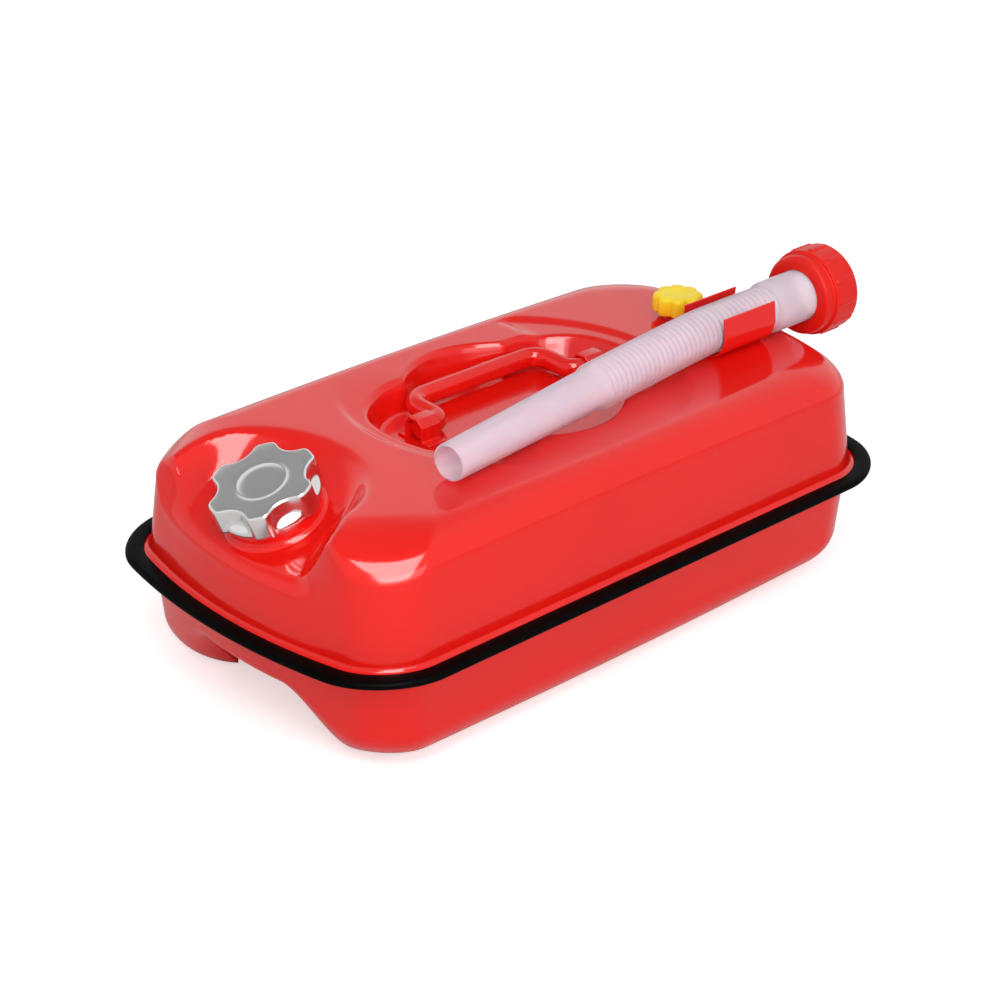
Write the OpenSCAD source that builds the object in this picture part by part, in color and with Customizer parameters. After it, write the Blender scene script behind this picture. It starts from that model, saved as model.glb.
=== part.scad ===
// Flat ten litre fuel can pressed from two steel shells, with a folding carry handle,
// a screw cap on a slanted neck, an air vent screw and a pouring spout kept in a clip.

/* [Shells] */
// Length of the can over the edge trim
trim_len = 459; // [440:1:490]
// Width of the can over the edge trim
trim_wid = 258; // [250:1:280]
// Corner radius of the edge trim seen from above
trim_corner = 42; // [37:1:48]
// How far the short ends of the can bow outwards
end_bow = 20; // [14:1:24]
// Height of the seam between the two shells
seam_z = 68.5; // [64:0.5:74]
// Height of the flat top
top_z = 139.6; // [136:0.1:146]
// Thickness of the shell sheet
sheet = 0.8; // [0.6:0.1:1.2]
// Distance from the trim's edge in to the foot of the upper wall
upper_inset = 14.2; // [13.5:0.1:17]
// How far the upper wall leans in before its shoulder
upper_lean = 4; // [2:0.5:6]
// Radius of the upper shoulder
shoulder_r = 20; // [16:0.1:24]
// Corner radius of the flat top seen from above
top_corner = 34; // [28:1:40]
// How far the long sides of the flat top bow outwards
side_bow = 10; // [6:0.5:13]
// Distance from the trim's edge in to the top of the lower wall
lower_inset = 15.6; // [14:0.1:18]
// Radius where the lower wall turns into the bottom
bottom_r = 25; // [20:1:30]
// Corner radius of the flat bottom seen from above
bottom_corner = 20; // [16:1:26]

/* [Underside] */
// Half width of the underside channel at its mouth
arch_mouth = 76; // [72:1:80]
// Half width of the underside channel at its ceiling
arch_ceiling = 32; // [26:1:38]
// Height of the hand hold at each end
arch_h = 38; // [34:1:42]
// Length of the hand hold measured in from the trim's end
arch_len = 62; // [50:1:75]
// Height of the shallow channel between the hand holds
channel_h = 8; // [5:1:12]

/* [Edge trim] */
// Height of the trim
trim_h = 5; // [4:0.5:7]
// How far the trim reaches in over the flanges
trim_lip = 10.5; // [8:0.5:11.5]
// Thickness of the trim outside the flange's edge
trim_wall = 3; // [2:0.5:4]
// Gap between the flange's edge and the bottom of the trim's slot
trim_gap = 0.5; // [0.2:0.1:1]

/* [Handle recess] */
// Place of the recess centre along the can
recess_x = 8; // [5:1:12]
// Place of the recess centre across the can
recess_y = 7; // [5:1:10]
// Length of the recess at the top
recess_len = 194; // [190:1:204]
// Width of the recess at the top
recess_wid = 112; // [108:1:118]
// Depth of the recess floor below the top
recess_depth = 17.9; // [15.9:0.1:20.9]
// How far the recess walls slope in down to the floor
recess_slope = 7; // [4:0.5:10]
// Corner radius of the recess at the top
recess_corner = 32; // [26:1:36]
// How far the recess ends bow outwards
recess_bow = 16; // [8:1:20]
// How far the middle of the recess bulges out on both sides for the hand
bulge_depth = 17; // [12:1:19]
// Length of the bulge
bulge_len = 82; // [76:1:92]

/* [Filler] */
// Place of the neck on the filler dish along the can
neck_x = -174; // [-178:1:-168]
// Place of the neck across the can
neck_y = 8; // [3:1:13]
// Height of the dish floor at the neck
dish_z = 116; // [113:0.5:118]
// Tilt of the dish and neck towards the near end
neck_tilt = 21; // [16:1:24]
// Place of the dish across the can
dish_y = 14; // [8:1:18]
// Radius of the dish
dish_r = 51; // [47:1:56]
// Outer radius of the neck's thread
neck_r = 23.5; // [20:0.5:25]
// Wall of the neck
neck_wall = 3; // [2:0.5:4]
// Height of the neck above the dish floor
neck_h = 20; // [18.5:0.5:22]
// Radius of the collar at the neck's foot
collar_r = 28; // [26:0.5:30]
// Height of the collar
collar_h = 8.5; // [6:0.5:9.5]

/* [Cap] */
// Radius over the points of the cap's star grip
cap_r = 32.5; // [31:0.5:36]
// Number of points on the star grip
cap_points = 6; // [5:1:8]
// Radius of the hollow flutes between the points
flute_r = 15; // [12:0.5:17]
// Radius to the bottom of the flutes
flute_root = 26; // [25.5:0.1:27]
// Height of the cap's bottom edge above the dish floor
cap_foot = 10; // [10:0.5:12]
// Height of the cap
cap_h = 16.5; // [16:0.5:20]
// Radius of the rim below the flutes
cap_rim_r = 30.5; // [28:0.5:31]
// Height of that rim
cap_rim_h = 3.5; // [2:0.5:5]
// Radius of the ring mark on the cap's top
cap_mark_r = 14.5; // [11:0.5:18]
// Thickness of the cap's sealing ring
cap_gasket_t = 1.8; // [1.4:0.1:2.2]

/* [Handle] */
// Diameter of the handle rod
rod_d = 12.5; // [11:0.5:13.5]
// Length of the grip between the middles of the two legs
grip_len = 108; // [100:1:110]
// Distance from the pivot to the grip
leg_len = 31.6; // [28:0.1:33]
// Bend radius of the rod's middle line
bend_r = 7.2; // [6.8:0.1:7.7]
// Place of the grip's middle along the can
grip_x = 14; // [10:1:16]
// Place of the pivot across the can
pivot_y = 18.5; // [15:0.5:21]
// Height of the pivot above the recess floor
pivot_h = 7.2; // [6.8:0.1:8.4]
// Resting angle of the handle above the floor
rest_angle = 2.5; // [2:0.1:6]
// Length of each bracket along the rod
bracket_len = 15; // [12:1:17]
// Clear length of rod between a leg and its bracket
bracket_gap = 1.5; // [1:0.25:3]
// Thickness of the bracket strap
strap_t = 1.6; // [1.2:0.1:2]
// Length of each bracket foot beyond the strap
foot_len = 6; // [4:0.5:8]
// How far the rod's end stays inside its bracket
rod_short = 4; // [2:0.5:6]

/* [Spout] */
// Place of the stored spout across the can
spout_y = -38; // [-40:0.5:-36]
// Place of the spout's tip along the can
tip_x = -107; // [-112:1:-102]
// How far the tip strays sideways from the clip's line
tip_sway = 25; // [20:0.5:28]
// Diameter of the spout at its tip
tip_d = 22.5; // [21:0.1:24]
// Diameter of the smooth tube where the ribs start
tube_d = 26.5; // [25:0.1:27.5]
// Diameter over the ribs
rib_d = 30; // [29:0.1:31]
// Depth of the grooves between the ribs
rib_depth = 1.3; // [0.8:0.1:1.6]
// Number of ribs
rib_count = 32; // [28:1:36]
// Place of the first rib along the can
rib_x = 32; // [26:1:38]
// Length of the ribbed part
rib_len = 142; // [136:1:160]
// Wall of the spout
spout_wall = 1.5; // [1:0.1:1.8]
// Diameter of the cuff that carries the nut
cuff_d = 33.5; // [32:0.1:35]

/* [Spout nut] */
// Place of the nut's front along the can
nut_x = 212; // [208:1:216]
// Length of the nut
nut_len = 28; // [26:1:34]
// Outer diameter of the nut's rim
nut_d = 55.5; // [53.5:0.5:60]
// Outer diameter of the nut's front shoulder
nut_neck_d = 51.5; // [49.5:0.5:53]
// Length of the front shoulder
nut_neck_len = 8; // [6:0.5:10]
// Thickness of the nut's front wall
nut_wall = 5; // [4:0.5:7]
// Diameter of the spout's end flange inside the nut
flange_d = 44; // [42:0.5:45]
// Thickness of that flange
flange_t = 2.5; // [2:0.1:3]
// Thickness of the nut's sealing ring
nut_gasket_t = 2.2; // [1.6:0.1:2.6]
// Number of grip lugs on the rim
lug_count = 12; // [8:1:16]
// Height of the grip lugs
lug_h = 0.9; // [0.5:0.1:1.5]

/* [Spout clip] */
// Place of the clip's near edge along the can
clip_x = 126; // [122:1:130]
// Length of the clip
clip_len = 46; // [40:1:50]
// Room between the clip's end and the flare of the spout's cuff
clip_room = 2; // [1:0.5:4]
// Thickness of the clip sheet
clip_t = 1.2; // [1:0.1:1.6]
// Height of the clip above the top
clip_h = 29; // [26:0.5:32]
// Extra half width where the clip's sides bulge
clip_bulge = 1.4; // [0.8:0.1:2]

/* [Air vent] */
// Place of the vent along the can
vent_x = 161; // [158:1:166]
// Place of the vent across the can
vent_y = 17; // [14:1:20]
// Outer radius of the vent knob over its lobes
knob_r = 16.3; // [14.5:0.1:17.5]
// Height of the vent knob
knob_h = 11.8; // [9:0.1:13]
// Number of lobes on the knob
lobe_count = 8; // [6:1:10]
// Radius of each lobe
lobe_r = 3.6; // [3:0.1:4]
// Radius of the vent screw
screw_r = 3; // [2:0.1:4]
// Outer radius of the vent boss
boss_r = 8.5; // [7:0.1:10]
// Height of the vent boss
boss_h = 2.5; // [2:0.1:4]
// Thickness of the vent seal
seal_t = 1.5; // [1:0.1:2.5]
// Reach of the vent boss and its screw below the top
vent_reach = 7; // [5:0.5:9]

/* [Clearances] */
// Radial clearance of the handle rod in its brackets
pivot_clear = 0.05; // [0.02:0.01:0.1]
// Clearance between pieces that move past each other
run_clear = 0.3; // [0.2:0.05:0.5]
// Radial clearance of the screw threads
thread_clear = 0.4; // [0.2:0.05:0.6]

/* [Hidden] */
$fn = 64;

red = [0.86, 0.12, 0.1];
black = [0.06, 0.06, 0.06];
silver = [0.68, 0.67, 0.66];
milky = [0.93, 0.88, 0.9];
yellow = [0.96, 0.8, 0.08];
rubber = [0.12, 0.12, 0.12];

// Angles of a full turn and of a quarter turn
full_turn = 360;
quarter_turn = 90;
// Cuts reach this far past the face that they go through
over = 1;
// Segments of each corner arc, of each short end and of each long side
corner_steps = 6;
end_steps = 16;
side_steps = 12;
// Segments of each shoulder arc, of the fillet at a wall's foot and of the trim's rounded nose
shoulder_steps = 6;
fillet_steps = 2;
nose_steps = 6;
// Level strip of the flanges between the trim's lip and the fillet at the wall's foot
flange_strip = 0.2;
// Rings across the flat top and across the bottom
top_steps = 10;
bottom_steps = 8;
// Softness of the crease around the filler dish, and the rise of its side
crease = 2;
dish_steep = 1.5;
// Rounding of the recess lip and of the foot of its wall
recess_lip = 2;
// Length over which each hand hold fades into the shallow channel
arch_fade = 40;
// Sides of the spout's rings, and steps along its tube and along its bore
spout_sides = 14;
spout_steps = 10;
// Segments of each rounded side of the spout clip
clip_steps = 6;
// How late the spout sways off the clip's line
sway_power = 1.3;
// Places of each rib's crest and groove along its pitch
rib_crest = 0.35;
rib_groove = 0.85;
// Bevel of the neck's collar and of the nut
collar_edge = 2;
nut_edge = 1.5;
// Width of each grip lug on the nut
lug_w = 3;
// Width and depth of the ring mark on the cap
mark_w = 1.6;
mark_depth = 0.4;
// Angle of one star point from the can's length
cap_turn = 45;
// How far the lower wall leans in before it turns into the bottom
lower_lean = 2.6;

// The can's ends and the nut's end lie equally far from the origin
nut_end = nut_x + nut_len;
centre_x = (nut_end - trim_len / 2) / 2;

// Holes in the sheet are cut this far to both sides of its face
punch = 4 * sheet;
flange_inset = trim_wall + trim_gap;
rod_r = rod_d / 2;
recess_z = top_z - recess_depth;
bulge_from = recess_wid / 4;
pivot_z = recess_z + pivot_h;
cap_bore_r = neck_r + thread_clear;
cap_ceiling = neck_h + cap_gasket_t + 2 * run_clear;
leg_x = grip_len / 2;
bracket_x = leg_x + rod_r + bracket_gap;
rib_r = rib_d / 2;
cuff_r = cuff_d / 2;
spout_z = top_z + clip_t + run_clear + rib_r;
tip_z = top_z + 2 * run_clear + tip_d / 2;
clip_half = rib_r + 2 * run_clear;
nut_socket_x = nut_x + nut_wall + 2 * run_clear + flange_t + nut_gasket_t + run_clear;
nut_socket_r = neck_r + thread_clear;
seal_z = top_z + boss_h + run_clear;
knob_z = seal_z + seal_t + run_clear;

// Straight line steps from p to q, without either end
function between(p, q, n) = [for (i = [1 : n - 1]) p + (q - p) * i / n];

// Rounded rectangle of half sizes a and b, counter-clockwise from its lower right corner
function rounded(a, b, r) =
    let (corner = [for (k = [0 : 3])
                   let (cx = (k < 2 ? 1 : -1) * (a - r), cy = (k % 3 == 0 ? -1 : 1) * (b - r))
                   [for (i = [0 : corner_steps]) let (w = quarter_turn * (k - 1 + i / corner_steps))
                    [cx + r * cos(w), cy + r * sin(w)]]])
    [for (k = [0 : 3]) let (next = corner[(k + 1) % 4][0], last = corner[k][corner_steps])
     each concat(corner[k], between(last, next, k % 2 == 0 ? end_steps : side_steps))];

// The same with ends and sides that bow out to the given half length and half width
function bowed(half_l, half_w, r, bow_e, bow_s) =
    let (a = half_l - bow_e, b = half_w - bow_s)
    [for (p = rounded(a, b, r))
     [p.x + p.x / a * bow_e * (1 - pow(p.y / b, 2)),
      p.y + p.y / b * bow_s * (1 - pow(p.x / a, 2))]];

function lifted(outline, z) = [for (p = outline) [p.x, p.y, z]];

// Outline of the can at a distance in from the trim's edge
function can_outline(inset, r, bow_s) =
    bowed(trim_len / 2 - inset, trim_wid / 2 - inset, r, end_bow, bow_s);

// Level ring of the flange and trim
function edge_ring(inset, z) = lifted(can_outline(inset, trim_corner - inset, 0), z);

// Rings of a wall from the fillet at its foot through a shoulder to a flat, skin being the depth under it
function wall_rings(foot_inset, lean, turn_r, foot_z, flat_z, flat_corner, skin) =
    let (up = flat_z > foot_z ? 1 : -1, foot_corner = trim_corner - foot_inset, r = turn_r - skin,
         fillet_inset = trim_lip + flange_strip, fillet_r = foot_inset - fillet_inset + skin)
    concat([for (i = [0 : fillet_steps]) let (w = quarter_turn * i / fillet_steps)
            edge_ring(fillet_inset + fillet_r * sin(w), foot_z + up * fillet_r * (1 - cos(w)))],
           [for (i = [0 : shoulder_steps])
            let (w = quarter_turn * i / shoulder_steps, part = 1 - cos(w),
                 inset = foot_inset + lean + skin + r * part,
                 corner = foot_corner + (flat_corner - foot_corner) * part)
            lifted(can_outline(inset, corner, side_bow * part), flat_z - up * (skin + r * (1 - sin(w))))]);

// Solid through a list of rings that run from a face looking down to a face looking up
module loft(rings) {
    n = len(rings[0]);
    last = len(rings) - 1;
    sides = [for (k = [0 : last - 1], i = [0 : n - 1])
             let (j = (i + 1) % n, a = k * n + i, b = k * n + j, c = a + n, d = b + n,
                  falling = norm(rings[k][i] - rings[k + 1][j]) > norm(rings[k][j] - rings[k + 1][i]))
             each falling ? [[a, c, b], [b, c, d]] : [[a, d, b], [a, c, d]]];
    polyhedron([for (ring = rings) each ring],
               concat([[for (i = [0 : n - 1]) i]], sides, [[for (i = [n - 1 : -1 : 0]) last * n + i]]),
               convexity = 6);
}

function reversed(list) = [for (i = [len(list) - 1 : -1 : 0]) list[i]];

// Closed tube or frame through rings that lead back to the first one
module ring_sweep(rings, flip) {
    n = len(rings[0]);
    m = len(rings);
    faces = [for (k = [0 : m - 1], i = [0 : n - 1]) let (j = (i + 1) % n, l = (k + 1) % m)
             each [[k * n + i, l * n + j, k * n + j], [k * n + i, l * n + i, l * n + j]]];
    polyhedron([for (ring = rings) each ring],
               flip ? [for (f = faces) [f[2], f[1], f[0]]] : faces, convexity = 10);
}

// Moves a piece from the can's own middle to the origin
module placed() translate([-centre_x, 0, 0]) children();

// Puts a piece on the slanted neck, with its Z along the neck
module on_neck() translate([neck_x, neck_y, dish_z]) rotate([0, -neck_tilt, 0]) children();

// Puts a piece on the stored spout's straight end, with its Z along the can
module on_nut() translate([nut_x, spout_y, spout_z]) rotate([0, 90, 0]) children();

// Recess outline with a bulge for the hand on both long sides, grow being the distance outwards
function recess_outline(grow) =
    [for (p = bowed(recess_len / 2 + grow, recess_wid / 2 + grow, recess_corner + grow, recess_bow, 0))
     let (u = min(1, abs(p.x) / (bulge_len / 2)),
          swell = bulge_depth * (1 - u * u) * min(1, abs(p.y) / bulge_from))
     [recess_x + p.x, recess_y + p.y + (p.y > 0 ? swell : -swell)]];

// Rings from the recess lip down its wall to the floor
function recess_rings(skin) =
    [for (step = [[recess_lip, 0], [0, recess_lip], [recess_lip - recess_slope, recess_depth - recess_lip],
                  [-recess_slope, recess_depth]])
     lifted(recess_outline(step[0] + skin), top_z - step[1] - skin)];

// Rings across the flat top from its edge ring to the recess lip
function top_rings(edge, lip) =
    [for (k = [1 : top_steps - 1])
     [for (i = [0 : len(edge) - 1]) edge[i] + (lip[i] - edge[i]) * k / top_steps]];

// Smaller of two heights with a soft crease
function soft_min(a, b) = -crease * ln(exp(-(a - b) / crease) + 1) + b;

// Height of the filler dish, whose floor slants with the neck and whose side rises past the dish radius
function dish_height(x, y, skin) =
    let (along = (x - neck_x) / cos(neck_tilt), reach = norm([along, y - dish_y]) - dish_r - skin)
    dish_z + (x - neck_x) * tan(neck_tilt) - skin / cos(neck_tilt) + dish_steep * max(0, reach);

// Upper skin from the wall's foot to the recess floor, pressed down by the filler dish
function upper_skin(skin, foot_z) =
    let (wall = wall_rings(upper_inset, upper_lean, shoulder_r, foot_z, top_z, top_corner, skin),
         recess = recess_rings(skin), across = top_rings(wall[len(wall) - 1], recess[0]))
    [for (ring = concat(wall, across, recess))
     [for (p = ring) [p.x, p.y, soft_min(p.z, dish_height(p.x, p.y, skin))]]];

module upper_shell() color(red) placed() difference() {
    loft(concat(reversed(upper_skin(sheet, seam_z)),
                [edge_ring(flange_inset, seam_z), edge_ring(flange_inset, seam_z + sheet)],
                upper_skin(0, seam_z + sheet)));
    on_neck() translate([0, 0, -punch]) cylinder(r = neck_r - neck_wall, h = 2 * punch);
    translate([vent_x, vent_y, top_z - punch]) cylinder(r = boss_r - sheet, h = 2 * punch);
}

// Step from 0 to 1 with soft ends
function smooth(t) = let (u = min(1, max(0, t))) u * u * (3 - 2 * u);

// Height of the underside channel, which rises into a hand hold at each end
function arch_height(x, y) =
    let (inside = (abs(x) - (trim_len / 2 - arch_len - arch_fade)) / arch_fade,
         rise = smooth(inside), side = smooth((arch_mouth - abs(y)) / (arch_mouth - arch_ceiling)))
    (channel_h + (arch_h - channel_h) * rise) * side;

// Lower skin from the wall's top to the middle of the bottom, pressed up by the channel
function lower_skin(skin, foot_z) =
    let (wall = wall_rings(lower_inset, lower_lean, bottom_r, foot_z, 0, bottom_corner, skin),
         mouth = trim_wid / 2 - arch_mouth,
         bottom = [for (k = [0 : bottom_steps - 1])
                   let (part = k / bottom_steps, inset = mouth + arch_mouth * part)
                   lifted(can_outline(inset, bottom_corner * (1 - part), side_bow * (1 - part)), skin)])
    [for (ring = concat(wall, bottom))
     [for (p = ring) [p.x, p.y, max(p.z, arch_height(p.x, p.y) + skin)]]];

module lower_shell() color(red) placed()
    loft(concat(reversed(lower_skin(0, seam_z - sheet)),
                [edge_ring(flange_inset, seam_z - sheet), edge_ring(flange_inset, seam_z)],
                lower_skin(sheet, seam_z)));

// Cross-section of the trim as distances in from its edge and heights from the seam
trim_profile = concat([for (i = [0 : nose_steps]) let (w = full_turn / 2 * i / nose_steps - quarter_turn)
                       [trim_wall * (1 - cos(w)), trim_h / 2 * sin(w)]],
                      [[trim_lip, trim_h / 2], [trim_lip, sheet], [trim_wall, sheet],
                       [trim_wall, -sheet], [trim_lip, -sheet], [trim_lip, -trim_h / 2]]);

module edge_trim() color(black) placed()
    ring_sweep([for (p = trim_profile) edge_ring(p[0], seam_z + p[1])], false);

module filler_neck() color(red) placed() on_neck() difference() {
    rotate_extrude() polygon([[0, 0], [collar_r, 0], [collar_r, collar_h - collar_edge],
                              [collar_r - collar_edge, collar_h], [neck_r, collar_h], [neck_r, neck_h],
                              [0, neck_h]]);
    translate([0, 0, -over]) cylinder(r = neck_r - neck_wall, h = neck_h + 2 * over);
}

module cap_star() difference() {
    circle(r = cap_r);
    for (i = [0 : cap_points - 1]) rotate(full_turn / cap_points * (i + 0.5) + cap_turn)
        translate([flute_root + flute_r, 0]) circle(r = flute_r);
}

module cap_knob() color(silver) placed() on_neck() translate([0, 0, cap_foot]) difference() {
    union() {
        linear_extrude(cap_h) cap_star();
        cylinder(r = cap_rim_r, h = cap_rim_h);
    }
    translate([0, 0, -over]) cylinder(r = cap_bore_r, h = cap_ceiling - cap_foot + over);
    translate([0, 0, cap_h - mark_depth]) difference() {
        cylinder(r = cap_mark_r + mark_w / 2, h = mark_depth + over);
        translate([0, 0, -over]) cylinder(r = cap_mark_r - mark_w / 2, h = mark_depth + 3 * over);
    }
}

module cap_gasket() color(rubber) placed() on_neck() translate([0, 0, neck_h + run_clear]) difference() {
    cylinder(r = neck_r, h = cap_gasket_t);
    translate([0, 0, -over]) cylinder(r = neck_r - neck_wall - run_clear, h = cap_gasket_t + 2 * over);
}

// Rod of the handle between two places along X or along Y
module rod_x(from, to, y)
    translate([from, y, 0]) rotate([0, 90, 0]) cylinder(r = rod_r, h = to - from);
module rod_y(x, from, to)
    translate([x, from, 0]) rotate([-90, 0, 0]) cylinder(r = rod_r, h = to - from);

// Quarter bend of the rod around a middle point
module elbow(x, y, turn) translate([x, y, 0]) rotate([0, 0, turn])
    rotate_extrude(angle = quarter_turn) translate([bend_r, 0]) circle(r = rod_r);

module handle_half() {
    rod_x(leg_x + bend_r, bracket_x + bracket_len - rod_short, 0);
    elbow(leg_x + bend_r, bend_r, 180);
    rod_y(leg_x, bend_r, leg_len - bend_r);
    elbow(leg_x - bend_r, leg_len - bend_r, 0);
}

module handle_bail() color(red) placed()
    translate([grip_x, pivot_y, pivot_z]) rotate([rest_angle, 0, 0]) {
        handle_half();
        mirror([1, 0, 0]) handle_half();
        rod_x(-(leg_x - bend_r), leg_x - bend_r, leg_len);
    }

// Strap over the rod with two feet on the recess floor, starting at the given place along the can
module handle_bracket(x) {
    inner = rod_r + pivot_clear;
    outer = inner + strap_t;
    reach = outer + foot_len;
    color(red) placed() translate([x, pivot_y, pivot_z]) rotate([90, 0, 90])
        linear_extrude(bracket_len) difference() {
            union() {
                circle(r = outer);
                translate([-outer, -pivot_h]) square([2 * outer, pivot_h]);
                translate([-reach, -pivot_h]) square([2 * reach, strap_t]);
            }
            circle(r = inner);
            translate([-inner, -pivot_h - over]) square([2 * inner, pivot_h + over]);
        }
}

module handle_bracket_front() handle_bracket(grip_x - bracket_x - bracket_len);
module handle_bracket_rear() handle_bracket(grip_x + bracket_x);

// Point of the clip's rounded lower half, which starts under the spout and widens up to the spout's middle
function clip_point(i, out, lowest, middle) =
    let (part = i / clip_steps, w = quarter_turn * (part - 1), r = clip_half + clip_bulge * part + out)
    [r * cos(w), max(lowest, middle + r * sin(w))];

module nozzle_clip() {
    middle = spout_z - top_z;
    inside = [for (i = [1 : clip_steps]) clip_point(i, 0, clip_t, middle)];
    outside = [for (i = [clip_steps : -1 : 1]) clip_point(i, clip_t, 0, middle)];
    side = concat(inside, [[clip_half, clip_h], [clip_half + clip_t, clip_h]], outside);
    mirrored = [for (i = [len(side) - 1 : -1 : 0]) [-side[i].x, side[i].y]];
    color(red) placed() translate([clip_x, spout_y, top_z]) rotate([90, 0, 90])
        linear_extrude(clip_len) polygon(concat(side, mirrored));
}

// Middle line of the stored spout: straight through the clip, then swaying sideways down to its tip
function spout_point(x) =
    let (t = max(0, (clip_x - x) / (clip_x - tip_x)))
    [x, spout_y - tip_sway * pow(t, sway_power), spout_z + (tip_z - spout_z) * (1 - pow(1 - t, 2))];
function unit(v) = v / norm(v);

// Ring of the spout at a place along the can
function spout_ring(x, r) =
    let (ahead = unit(spout_point(x + over) - spout_point(x - over)),
         aside = unit(cross([0, 0, 1], ahead)), up = cross(ahead, aside))
    [for (i = [0 : spout_sides - 1]) let (w = full_turn * i / spout_sides)
     spout_point(x) + r * (cos(w) * aside + sin(w) * up)];

module nozzle_pipe() {
    rib_end = rib_x + rib_len;
    pitch = rib_len / rib_count;
    flare_x = max(rib_end, clip_x + clip_len + clip_room);
    flange_x = nut_x + nut_wall + run_clear;
    groove_r = rib_r - rib_depth;
    bore_r = groove_r - spout_wall;
    smooth = [for (i = [0 : spout_steps]) let (t = i / spout_steps)
              [tip_x + (rib_x - tip_x) * t, (tip_d + (tube_d - tip_d) * t) / 2]];
    ribs = [for (i = [0 : rib_count - 1])
            each [[rib_x + (i + rib_crest) * pitch, rib_r], [rib_x + (i + rib_groove) * pitch, groove_r]]];
    plain = flare_x > rib_end ? [flare_x] : [];
    cuff = [for (x = plain) [x, groove_r],
            [flare_x + pitch, cuff_r], [flange_x, cuff_r], [flange_x, flange_d / 2],
            [flange_x + flange_t, flange_d / 2]];
    bore = concat([[flange_x + flange_t, cuff_r - spout_wall], [flare_x + pitch, cuff_r - spout_wall]],
                  [for (x = plain) [x, bore_r]],
                  [for (i = [spout_steps : -1 : 1]) [rib_x + rib_len * i / spout_steps, bore_r]],
                  [for (i = [spout_steps : -1 : 0]) [smooth[i][0], smooth[i][1] - spout_wall]]);
    stations = concat(smooth, ribs, cuff, bore);
    color(milky) placed() ring_sweep([for (s = stations) spout_ring(s[0], s[1])], true);
}

module nozzle_nut() color(red) placed() on_nut() {
    nut_r = nut_d / 2;
    front_r = nut_neck_d / 2;
    hole_r = cuff_r + run_clear;
    pocket_r = flange_d / 2 + run_clear;
    socket = nut_socket_x - nut_x;
    rotate_extrude() polygon([[hole_r, 0], [front_r - nut_edge, 0], [front_r, nut_edge],
                              [front_r, nut_neck_len], [nut_r - nut_edge, nut_neck_len],
                              [nut_r, nut_neck_len + nut_edge], [nut_r, nut_len], [nut_socket_r, nut_len],
                              [nut_socket_r, socket], [pocket_r, socket], [pocket_r, nut_wall],
                              [hole_r, nut_wall]]);
    for (i = [0 : lug_count - 1]) rotate(full_turn / lug_count * i)
        translate([nut_r - over, -lug_w / 2, nut_neck_len + 2 * nut_edge])
            cube([lug_h + over, lug_w, nut_len - nut_neck_len - 3 * nut_edge]);
}

module nozzle_gasket() color(rubber) placed() on_nut()
    translate([0, 0, nut_wall + run_clear + flange_t]) difference() {
        cylinder(r = flange_d / 2, h = nut_gasket_t);
        translate([0, 0, -over]) cylinder(r = cuff_r - spout_wall, h = nut_gasket_t + 2 * over);
    }

module vent_boss() color(red) placed() translate([vent_x, vent_y, top_z]) difference() {
    union() {
        cylinder(r = boss_r, h = boss_h);
        translate([0, 0, -vent_reach]) cylinder(r = boss_r - sheet - run_clear, h = vent_reach + boss_h);
    }
    translate([0, 0, -vent_reach - over])
        cylinder(r = screw_r + thread_clear, h = vent_reach + boss_h + 2 * over);
}

module vent_seal() color(rubber) placed() translate([vent_x, vent_y, seal_z]) difference() {
    cylinder(r = boss_r, h = seal_t);
    translate([0, 0, -over]) cylinder(r = screw_r + thread_clear, h = seal_t + 2 * over);
}

module vent_knob() color(yellow) placed() translate([vent_x, vent_y, knob_z]) {
    linear_extrude(knob_h) {
        circle(r = knob_r - lobe_r);
        for (i = [0 : lobe_count - 1]) rotate(full_turn / lobe_count * i)
            translate([knob_r - lobe_r, 0]) circle(r = lobe_r);
    }
    below = knob_z - top_z + vent_reach;
    translate([0, 0, -below]) cylinder(r = screw_r, h = below + over);
}

upper_shell();
lower_shell();
edge_trim();
filler_neck();
cap_knob();
cap_gasket();
handle_bail();
handle_bracket_front();
handle_bracket_rear();
nozzle_clip();
nozzle_pipe();
nozzle_nut();
nozzle_gasket();
vent_boss();
vent_knob();
vent_seal();
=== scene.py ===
"""Flat red fuel can with a recessed carry handle, a slanted screw cap, a vent knob and a clipped spout.

Every shape is worked out in millimetres from the can's own middle and then moved into the part's frame.
"""
import math

import bpy
import numpy as np
from mathutils import Matrix, Vector


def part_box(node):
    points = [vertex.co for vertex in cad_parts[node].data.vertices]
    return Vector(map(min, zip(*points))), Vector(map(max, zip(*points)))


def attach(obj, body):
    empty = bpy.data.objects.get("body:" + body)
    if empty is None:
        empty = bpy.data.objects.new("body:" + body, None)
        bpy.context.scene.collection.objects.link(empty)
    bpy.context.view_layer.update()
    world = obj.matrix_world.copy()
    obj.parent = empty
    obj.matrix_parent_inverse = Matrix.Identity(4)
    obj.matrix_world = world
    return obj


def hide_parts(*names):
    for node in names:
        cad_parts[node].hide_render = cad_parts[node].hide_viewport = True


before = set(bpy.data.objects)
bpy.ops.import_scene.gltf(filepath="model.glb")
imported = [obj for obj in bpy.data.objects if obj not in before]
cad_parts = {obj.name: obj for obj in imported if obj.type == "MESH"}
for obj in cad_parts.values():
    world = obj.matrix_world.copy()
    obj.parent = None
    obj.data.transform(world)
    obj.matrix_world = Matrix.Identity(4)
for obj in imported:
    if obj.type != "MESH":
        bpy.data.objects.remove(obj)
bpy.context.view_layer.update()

MM = 0.001
QUARTER = math.pi / 2
FULL = 2 * math.pi


def cad(node):
    """Lowest and highest corner of a CAD node in millimetres."""
    low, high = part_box(node)
    return np.array(low) / MM, np.array(high) / MM


# Overall sizes come from the CAD pieces
trim_low, trim_high = cad("edge_trim")
TRIM_LEN, TRIM_WID, TRIM_H = trim_high - trim_low
CENTRE_X = (trim_low[0] + trim_high[0]) / 2
SEAM_Z = (trim_low[2] + trim_high[2]) / 2
TOP_Z = cad("upper_shell")[1][2]

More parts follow.
